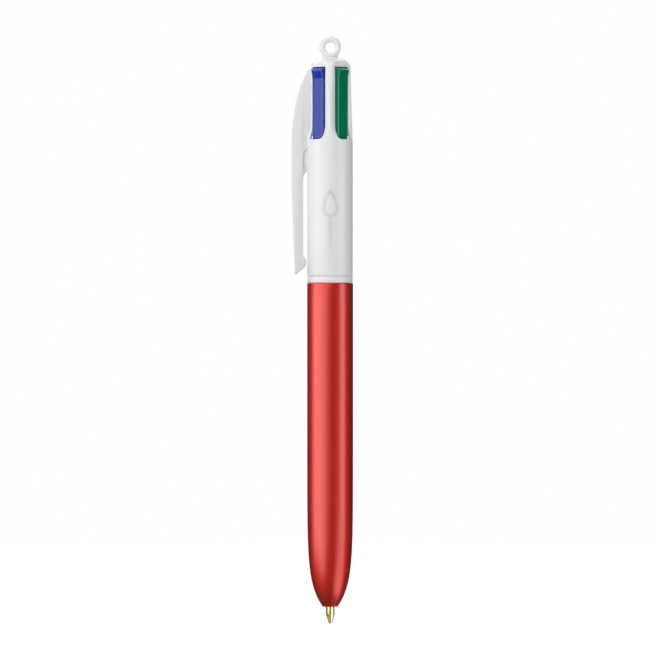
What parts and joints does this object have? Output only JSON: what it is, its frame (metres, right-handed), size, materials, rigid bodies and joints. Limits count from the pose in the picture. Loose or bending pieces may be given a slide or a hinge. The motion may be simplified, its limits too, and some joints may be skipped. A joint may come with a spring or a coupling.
{
  "type": "multicolor click pen",
  "caption": "Upright click ballpoint pen with colour sliders in a slotted white head, side clip, lanyard ring and a metallic red lower barrel with a brass tip out.",
  "frame": {"origin": "centre of the lanyard ring's hole, on the pen's axis", "axes": "+Z along the pen's axis from the writing tip to the ring, clip towards -X, lanyard hole along Y"},
  "size_m": [0.0157, 0.0116, 0.1496],
  "materials": {
    "white_plastic": "satin white moulding",
    "red_metallic": "satin metallic red",
    "plate_plastic": "satin",
    "blue_plastic": "gloss",
    "green_plastic": "gloss",
    "red_plastic": "gloss",
    "black_plastic": "gloss",
    "spring_steel": "drawn wire",
    "tube_plastic": "translucent",
    "tip_brass": "turned and polished",
    "ball_steel": "polished",
    "blue_ink": "wet ink",
    "green_ink": "wet ink",
    "red_ink": "wet ink",
    "black_ink": "wet ink"
  },
  "bodies": {
    "upper_pen": {"upper_barrel": "white_plastic", "lanyard_ring": "white_plastic", "threaded_collar": "white_plastic", "guide_plate": "plate_plastic", "blue_spring": "spring_steel", "green_spring": "spring_steel", "red_spring": "spring_steel", "black_spring": "spring_steel"},
    "grip": {"lower_barrel": "red_metallic"},
    "blue_button": {"blue_slider": "blue_plastic"},
    "blue_refill": {"blue_refill_tube": "tube_plastic", "blue_ink": "blue_ink", "blue_brass_tip": "tip_brass", "blue_ball": "ball_steel"},
    "green_button": {"green_slider": "green_plastic"},
    "green_refill": {"green_refill_tube": "tube_plastic", "green_ink": "green_ink", "green_brass_tip": "tip_brass", "green_ball": "ball_steel"},
    "red_button": {"red_slider": "red_plastic"},
    "red_refill": {"red_refill_tube": "tube_plastic", "red_ink": "red_ink", "red_brass_tip": "tip_brass", "red_ball": "ball_steel"},
    "black_button": {"black_slider": "black_plastic"},
    "black_refill": {"black_refill_tube": "tube_plastic", "black_ink": "black_ink", "black_brass_tip": "tip_brass", "black_ball": "ball_steel"}
  },
  "joints": [
    {"name": "blue_slide", "type": "slide", "parent": "upper_pen", "child": "blue_button", "axis": [0, 0, -1], "range_m": [0, 0.0115], "stiffness_N_per_m": 120, "springref_m": -0.004, "deforming": ["blue_spring"]},
    {"name": "blue_refill_lean", "type": "hinge", "parent": "blue_button", "child": "blue_refill", "pos_m": [-0.00191, -0.00191, -0.03095], "axis": [0.7071, -0.7071, 0], "range_deg": [0, 1.39], "deforming": ["blue_refill_tube", "blue_ink", "blue_brass_tip", "blue_ball"]},
    {"name": "green_slide", "type": "slide", "parent": "upper_pen", "child": "green_button", "axis": [0, 0, -1], "range_m": [0, 0.0115], "stiffness_N_per_m": 120, "springref_m": -0.004, "deforming": ["green_spring"]},
    {"name": "green_refill_lean", "type": "hinge", "parent": "green_button", "child": "green_refill", "pos_m": [0.00191, -0.00191, -0.03095], "axis": [0.7071, 0.7071, 0], "range_deg": [0, 1.39], "deforming": ["green_refill_tube", "green_ink", "green_brass_tip", "green_ball"]},
    {"name": "red_slide", "type": "slide", "parent": "upper_pen", "child": "red_button", "axis": [0, 0, -1], "range_m": [0, 0.0115], "stiffness_N_per_m": 120, "springref_m": -0.004, "deforming": ["red_spring"]},
    {"name": "red_refill_lean", "type": "hinge", "parent": "red_button", "child": "red_refill", "pos_m": [0.00191, 0.00191, -0.03095], "axis": [-0.7071, 0.7071, 0], "range_deg": [0, 1.39], "deforming": ["red_refill_tube", "red_ink", "red_brass_tip", "red_ball"]},
    {"name": "black_slide", "type": "slide", "parent": "upper_pen", "child": "black_button", "axis": [0, 0, -1], "range_m": [-0.0115, 0], "deforming": ["black_spring"]},
    {"name": "black_refill_lean", "type": "hinge", "parent": "black_button", "child": "black_refill", "pos_m": [-0.00191, 0.00191, -0.04245], "axis": [-0.7071, -0.7071, 0], "range_deg": [-1.39, 0], "deforming": ["black_refill_tube", "black_ink", "black_brass_tip", "black_ball"]},
    {"name": "grip_unscrew", "type": "slide", "parent": "upper_pen", "child": "grip", "axis": [0, 0, -1], "range_m": [0, 0.008]}
  ],
  "couplings": [
    {"joint": "blue_refill_lean", "follows": "blue_slide", "rad_per_m": 2.0972},
    {"joint": "green_refill_lean", "follows": "green_slide", "rad_per_m": 2.0972},
    {"joint": "red_refill_lean", "follows": "red_slide", "rad_per_m": 2.0972},
    {"joint": "black_refill_lean", "follows": "black_slide", "rad_per_m": 2.0972}
  ]
}
